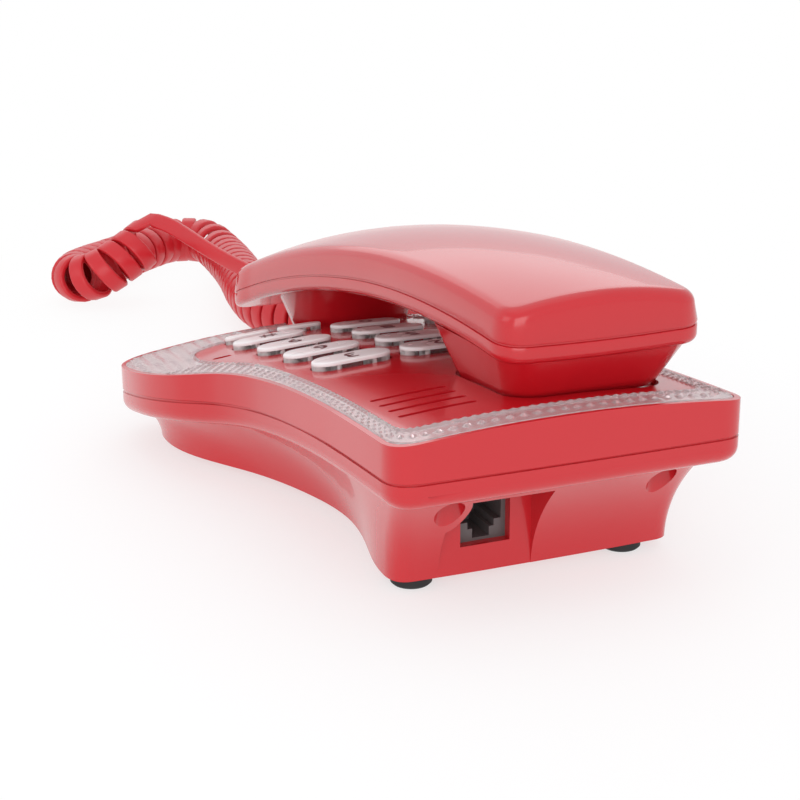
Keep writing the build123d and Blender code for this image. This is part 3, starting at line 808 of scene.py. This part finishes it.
def key_mesh(label, middle, size, plate, digit):
    """A key: plate and ribs with the first material, skirt with the second, digit with the third."""
    mesh = bmesh.new()
    (x, y), (long, wide) = middle, size
    pill_block(mesh, middle, size, KEY_PROUD, KEY_PROUD - plate, KEY_EDGE)
    for along, thick, tall in key_ribs(long, wide):
        for side in (0, -1, 1):
            place = (x + along, y + side * (tall - thick) / 2)
            pill_block(mesh, place, (thick + FIT, thick), KEY_PROUD - plate, RIB_DEEP)
    solid = set(mesh.faces)
    pill_block(mesh, middle, (long - SKIRT_LESS, wide - SKIRT_LESS), KEY_PROUD - plate - FIT, SKIRT_DEEP)
    for face in mesh.faces:
        face.material_index = 0 if face in solid else 1
    if label:
        before = set(mesh.faces)
        data = label_mesh(label, middle, digit)
        mesh.from_mesh(data)
        bpy.data.meshes.remove(data)
        for face in set(mesh.faces) - before:
            face.material_index = 2
    return mesh


class TELEPHONE_OT_keys(bpy.types.Operator):
    """Models the fourteen keys: white plate with its digit over a clear skirt with white ribs"""
    bl_idname = "telephone.keys"
    bl_label = "Keys"

    def execute(self, context):
        settings = context.scene.telephone_pad
        looks = (key_plastic(), clear_plastic("Clear key skirt", (1.0, 0.96, 0.96, 1), 0.94, 1.25),
                 plain("Digit ink", (0.10, 0.012, 0.016, 1), 0.3, 0.45))
        for name, label, middle, size in key_places():
            mesh = key_mesh(label, middle, size, settings.plate / MM, settings.digit / MM)
            key = finish_mesh(name + "_looks", mesh, angle=40)
            for look in looks:
                key.data.materials.append(look)
            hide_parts(name)
            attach(key, name)
        return {"FINISHED"}


# ------------------------ cord

# The strap at the handset, the coil's middle line and the strap at the base
HANDSET_TAIL = ((-11.5, -100.2, 26.94), (-11.4, -111, 23.0), (-9.8, -125, 20.6), (-6.2, -140, 20.6),
                (-1.4, -156, 22.2), (3.4, -171, 24.8), (7.4, -184, 27.6), (11.4, -195.4, 29.9),
                (16.6, -205.4, 30.4))
COIL_ROUTE = ((16.8, -205.6, 21.2), (25.8, -203.2, 16.4), (34.4, -202.8, 11.6), (41.0, -208.8, 9.1),
              (41.2, -218.0, 8.8), (32.4, -227.4, 8.8), (22.0, -235.6, 8.8), (8.5, -248.0, 8.8),
              (-4.4, -260.2, 8.8), (-13.9, -260.2, 8.8), (-20.2, -253.2, 8.8), (-19.6, -240, 8.8),
              (-18, -217, 8.8), (-14.6, -190, 8.8), (-9.4, -163, 8.8), (-8.4, -139, 8.8), (-18, -115, 8.8),
              (-38, -100, 8.8), (-62, -93.5, 8.8), (-80, -79.5, 8.8), (-86, -61, 8.8))
BASE_TAIL = ((-86.2, -62.5, 8.6), (-85.4, -52, 8.0), (-79.4, -43.6, 7.2), (-71.6, -40.2, 6.7),
             (-65.0, -40.0, 6.6))
TAIL_STEP, LEAD_STEP, ROUTE_STEP = 2.5, 2.0, 0.1  # between points on the straps and the coil's route
TWIST_FROM, TWIST_OVER = 0.55, 0.45  # where the handset's strap starts to turn, and over what share
LEAD_SKIPPED, LEAD_TWIST = 3, 8  # points hidden in the coil, and points over which it turns flat
STRAP_CORNER = 0.38  # the strap's rounding, as a share of its thickness
COIL_RADIUS = 7.45
STEPS_PER_TURN = 26
COIL_END, END_CURVE = 9, 0.7  # length over which the coil narrows at its end, and how
SWAY, SWAY_KEPT, SWAY_NEW = 0.05, 0.9, 0.1  # how much the turns' radius varies, and how gently
WINDING_SEED = 7
# How far apart the turns lie: (distance along the coil, pitch), in between by straight lines
PITCHES = ((0, 6.4), (24, 6.2), (40, 5.2), (50, 4.6), (60, 5.6), (72, 6.6), (112, 6.8), (122, 11.0),
           (136, 13.0), (146, 8.0), (156, 5.95), (330, 5.95), (338, 9.0), (400, 16.0))


def route_line(points):
    """The smooth line of a route: its NURBS spline's own points, read back in order."""
    curve = bpy.data.curves.new("route", "CURVE")
    curve.dimensions = "3D"
    curve.resolution_u = 24
    spline = curve.splines.new("NURBS")
    spline.points.add(len(points) - 1)
    for point, place in zip(spline.points, points):
        point.co = (*place, 1.0)
    spline.order_u = 3
    spline.use_endpoint_u = True
    holder = bpy.data.objects.new("route", curve)
    line = bpy.data.meshes.new_from_object(holder)
    path = [v.co.copy() for v in line.vertices]
    bpy.data.objects.remove(holder)
    bpy.data.curves.remove(curve)
    bpy.data.meshes.remove(line)
    return path


def evenly(path, step):
    """Points a step apart along a line, each with its distance along it, and the line's length."""
    placed, walked, due = [], 0.0, 0.0
    for here, there in zip(path, path[1:]):
        run = (there - here).length
        while run and due <= walked + run:
            placed.append((here.lerp(there, (due - walked) / run), due))
            due += step
        walked += run
    return placed, walked


def strap_points(route, step):
    """Points a step apart along a route."""
    placed, _ = evenly(route_line(route), step)
    return [point for point, _ in placed]


def pitch_at(along):
    """How far apart the turns lie at a distance along the coil."""
    for (a, low), (b, high) in zip(PITCHES, PITCHES[1:]):
        if along <= b:
            return low + (high - low) * (along - a) / (b - a)
    return PITCHES[-1][1]


def square_to(outward, ahead):
    """A direction turned to stand square to the way ahead."""
    return (outward - ahead * outward.dot(ahead)).normalized()


def helix(route, start, rng):
    """The strap's centreline round the coil's route, with its outward direction at each point."""
    samples, total = evenly(route, ROUTE_STEP)
    outward = square_to(start - samples[0][0], (samples[1][0] - samples[0][0]).normalized())
    placed, angle, next_angle = [], 0.0, 0.0
    drift, wobble = 0.0, 0.0
    for (here, along), (there, _) in zip(samples, samples[1:]):
        ahead = (there - here).normalized()
        outward = square_to(outward, ahead)
        if angle >= next_angle:
            drift = SWAY_KEPT * drift + SWAY_NEW * rng.uniform(-1, 1)
            wobble = SWAY_KEPT * wobble + SWAY_NEW * drift
            fade = min(1.0, max(0.0, (total - along) / COIL_END))
            radius = COIL_RADIUS * fade ** END_CURVE * (1 + SWAY * wobble)
            placed.append((here + outward * radius, outward.copy()))
            next_angle += 2 * math.pi / STEPS_PER_TURN
        turn = 2 * math.pi * ROUTE_STEP / pitch_at(along)
        outward = Matrix.Rotation(turn, 3, ahead) @ outward
        angle += turn
    return placed


def tail_line(tail, coil_out):
    """The handset's strap with its outward directions, level until it turns into the coil."""
    level = Vector((1, 0, 0))
    line = []
    for i, point in enumerate(tail[:-1]):
        share = max(0.0, (i - TWIST_FROM * len(tail)) / (TWIST_OVER * len(tail)))
        line.append((point, level.lerp(coil_out, share ** 2).normalized()))
    return line


def lead_line(lead, coil_out):
    """The base's strap with its outward directions, from the coil's to flat."""
    flat = Vector((0, 0, 1))
    return [(point, coil_out.lerp(flat, min(1.0, (i + 1) / LEAD_TWIST)).normalized())
            for i, point in enumerate(lead)]


def strap_rings(line, width, thick):
    """Sections of a flat cord along a line: a rounded rectangle whose thin side faces each outward."""
    section = rounded_box(0, 0, width, thick, STRAP_CORNER * thick, 3)
    points = [point for point, _ in line]
    last = len(points) - 1
    rings = []
    for i, (point, out) in enumerate(line):
        tangent = (points[min(i + 1, last)] - points[max(i - 1, 0)]).normalized()
        out = square_to(out, tangent)
        side = tangent.cross(out)
        rings.append([point + side * p.x + out * p.y for p in section])
    return rings


def path_length(points):
    """Length of a line through points."""
    return sum((b - a).length for a, b in zip(points, points[1:]))


class TELEPHONE_OT_cord(bpy.types.Operator):
    """Winds the flat handset cord along its route"""
    bl_idname = "telephone.cord"
    bl_label = "Curly cord"

    def execute(self, context):
        settings = context.scene.telephone_cord
        tail = strap_points(HANDSET_TAIL, TAIL_STEP)
        turns = helix(route_line(COIL_ROUTE), tail[-1], random.Random(WINDING_SEED))
        lead = strap_points(BASE_TAIL, LEAD_STEP)[LEAD_SKIPPED:]
        line = tail_line(tail, turns[0][1]) + turns + lead_line(lead, turns[-1][1])
        mesh = bmesh.new()
        lofted(mesh, strap_rings(line, settings.width / MM, settings.thickness / MM))
        cord = finish_mesh("handset_cord", mesh, angle=60)
        cord.data.materials.append(cord_jacket())
        points = [point for point, _ in line]
        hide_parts("cord_tail_handset", "cord_coil", "cord_tail_base")
        # Known fault: the coil beside the base lies behind points[0], where a blend between the handset and
        # the base would start, so under such a blend it would follow the handset too
        points[0] * MM
        tail[-2] * MM
        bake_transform(cord)
        path = [p * MM for p in points]
        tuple(path[0])
        path_length(path)
        return {"FINISHED"}


# ------------------------ frame nodes

class TELEPHONE_OT_nodes(bpy.types.Operator):
    """Gives the CAD nodes that stay in view their materials"""
    bl_idname = "telephone.nodes"
    bl_label = "CAD nodes"

    def execute(self, context):
        red = red_shell("Red moulded plastic, base")
        clear = clear_plastic("Clear plug plastic")
        black = plain("Black rubber", (0.012, 0.012, 0.013, 1), 0.55, 0.75)
        jack = plain("Socket plastic", (0.11, 0.095, 0.095, 1), 0.35, 0.5)
        gold = plain("Contact wire", (0.85, 0.62, 0.25, 1), 0.2, 0.35, metallic=1.0)
        steel = plain("Screw steel", (0.55, 0.55, 0.56, 1), 0.3, 0.45, metallic=1.0)
        inner = plain("Inner plastic", (0.05, 0.05, 0.05, 1), 0.5, 0.65)
        mat_rubber = plain("Silicone mat", (0.66, 0.64, 0.60, 1), 0.5, 0.65)
        board = plain("Phenolic board", (0.42, 0.25, 0.09, 1), 0.4, 0.55)
        iron = plain("Weight iron", (0.20, 0.20, 0.21, 1), 0.35, 0.6, metallic=1.0)
        looks = {"foot": black, "screw": steel, "housing": red, "plunger": red, "plug": clear,
                 "contacts": gold, "jack": jack, "socket": jack, "mat": mat_rubber, "board": board,
                 "weight": iron, "speaker": inner, "capsule": inner, "switch": inner}
        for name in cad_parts:
            look = next((look for part, look in looks.items() if part in name), None)
            if look:
                dress(name, look)
        return {"FINISHED"}


# ------------------------ stage

FLOOR_RADIUS, FLOOR_SIDES = 1100, 96
AIM = (0.0, 0.0, 0.03)  # where the lights point
# Each soft light's name, place and size in metres, and share of the key power
LIGHTS = (("over", (0.0, -0.1, 1.1), (1.0, 1.0), 0.25), ("near", (0.45, 1.1, 0.35), (0.9, 0.7), 1.25),
          ("side", (1.1, 0.0, 0.5), (0.7, 0.6), 0.35), ("far", (-0.35, -1.1, 0.62), (1.5, 0.6), 0.6))
AMBIENT, AMBIENT_POWER = (0.98, 0.98, 1, 1), 0.90
LENS, SENSOR = 75.01, 36.0
# Where the camera stands, in metres, and how far it turns about Z, dips and rolls, in degrees
CAMERA_PLACE = (0.15593, 0.37743, 0.15192)
CAMERA_TURN, CAMERA_DIP, CAMERA_ROLL = 157.74, 17.89, -0.31


def area_light(name, place, size, power):
    """A soft rectangular light that shines at the telephone."""
    light = bpy.data.lights.new(name, "AREA")
    light.shape = "RECTANGLE"
    light.size, light.size_y = size
    light.energy = power
    made = bpy.data.objects.new(name, light)
    made.location = place
    made.rotation_euler = (Vector(AIM) - Vector(place)).to_track_quat("-Z", "Y").to_euler()
    bpy.context.scene.collection.objects.link(made)


def floor_material(shade):
    """Pale near the telephone and fading into the white behind it further out."""
    mat = Material("Pale floor", Roughness=0.9, Base_Color=shade)
    away = mat.node("ShaderNodeVectorMath", {"operation": "LENGTH"}, [mat.position()], "Value")
    fade = mat.node("ShaderNodeMapRange", {"interpolation_type": "SMOOTHSTEP"},
                    {"Value": away, "From Min": 0.02, "From Max": 0.30, "To Min": 0.6, "To Max": 1.0})
    white = mat.node("ShaderNodeEmission", {}, {"Color": WHITE})
    mixed = mat.node("ShaderNodeMixShader", {}, (fade, Num(mat, mat.shader.outputs[0]), white))
    mat.feed(mat.tree.nodes["Material Output"].inputs["Surface"], mixed)
    return mat.data


def white_surroundings(scene):
    """White where it is looked at, also through clear plastic, and a little dimmer where it lights."""
    scene.world = bpy.data.worlds.new("studio")
    scene.world.use_nodes = True
    nodes = Nodes(scene.world.node_tree)
    nodes.tree.nodes.clear()
    looked_at = (nodes.node("ShaderNodeLightPath", output="Is Camera Ray")
                 + nodes.node("ShaderNodeLightPath", output="Is Transmission Ray"))
    ambient = nodes.node("ShaderNodeBackground", {}, {"Color": AMBIENT, "Strength": AMBIENT_POWER})
    white = nodes.node("ShaderNodeBackground", {}, {"Color": WHITE})
    mixed = nodes.node("ShaderNodeMixShader", {}, (looked_at, ambient, white))
    nodes.node("ShaderNodeOutputWorld", {}, {"Surface": mixed})


def set_up_camera(scene):
    """Looks down at the telephone from behind and from its right."""
    camera = bpy.data.cameras.new("camera")
    camera.sensor_width = SENSOR
    camera.lens = LENS
    made = bpy.data.objects.new("camera", camera)
    scene.collection.objects.link(made)
    turn = Matrix.Rotation(math.radians(CAMERA_TURN), 4, "Z")
    tip = Matrix.Rotation(math.radians(90 - CAMERA_DIP), 4, "X")
    roll = Matrix.Rotation(math.radians(CAMERA_ROLL), 4, "Z")
    made.matrix_world = Matrix.Translation(CAMERA_PLACE) @ turn @ tip @ roll
    scene.camera = made


class TELEPHONE_OT_stage(bpy.types.Operator):
    """Floor, soft light, white surroundings and the camera"""
    bl_idname = "telephone.stage"
    bl_label = "Stage"

    def execute(self, context):
        scene = context.scene
        settings = scene.telephone_stage
        mesh = bmesh.new()
        bmesh.ops.create_circle(mesh, cap_ends=True, segments=FLOOR_SIDES, radius=FLOOR_RADIUS)
        floor = finish_mesh("floor", mesh, smooth=False)
        floor.data.materials.append(floor_material(settings.floor))
        for name, place, size, share in LIGHTS:
            area_light(name, place, size, settings.key_power * share)
        white_surroundings(scene)
        set_up_camera(scene)
        scene.view_settings.view_transform = "Standard"
        return {"FINISHED"}


# ------------------------ add-on

class TELEPHONE_PT_panel(bpy.types.Panel):
    """Builds the telephone, piece by piece"""
    bl_idname = "TELEPHONE_PT_panel"
    bl_label = "Telephone"
    bl_space_type = "VIEW_3D"
    bl_region_type = "UI"
    bl_category = "Telephone"

    def draw(self, context):
        for name in GROUPS:
            group = getattr(context.scene, name)
            for key in group.__annotations__:
                self.layout.prop(group, key)
        for operator in OPERATORS:
            self.layout.operator(operator.bl_idname)


OPERATORS = (TELEPHONE_OT_nodes, TELEPHONE_OT_housing, TELEPHONE_OT_handset, TELEPHONE_OT_ring,
             TELEPHONE_OT_keys, TELEPHONE_OT_cord, TELEPHONE_OT_stage)
GROUPS = {"telephone_shell": ShellSettings, "telephone_pad": PadSettings, "telephone_ring": RingSettings,
          "telephone_cord": CordSettings, "telephone_stage": StageSettings}


def register():
    """Registers the settings, operators and panel."""
    for name, group in GROUPS.items():
        bpy.utils.register_class(group)
        setattr(bpy.types.Scene, name, bpy.props.PointerProperty(type=group))
    for cls in (*OPERATORS, TELEPHONE_PT_panel):
        bpy.utils.register_class(cls)


def unregister():
    """Undoes register."""
    for cls in reversed((*OPERATORS, TELEPHONE_PT_panel)):
        bpy.utils.unregister_class(cls)
    for name, group in GROUPS.items():
        delattr(bpy.types.Scene, name)
        bpy.utils.unregister_class(group)


def main():
    """Registers the classes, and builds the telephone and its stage."""
    register()
    for operator in OPERATORS:
        group, name = operator.bl_idname.split(".")
        getattr(getattr(bpy.ops, group), name)()


if __name__ == "__main__":
    main()
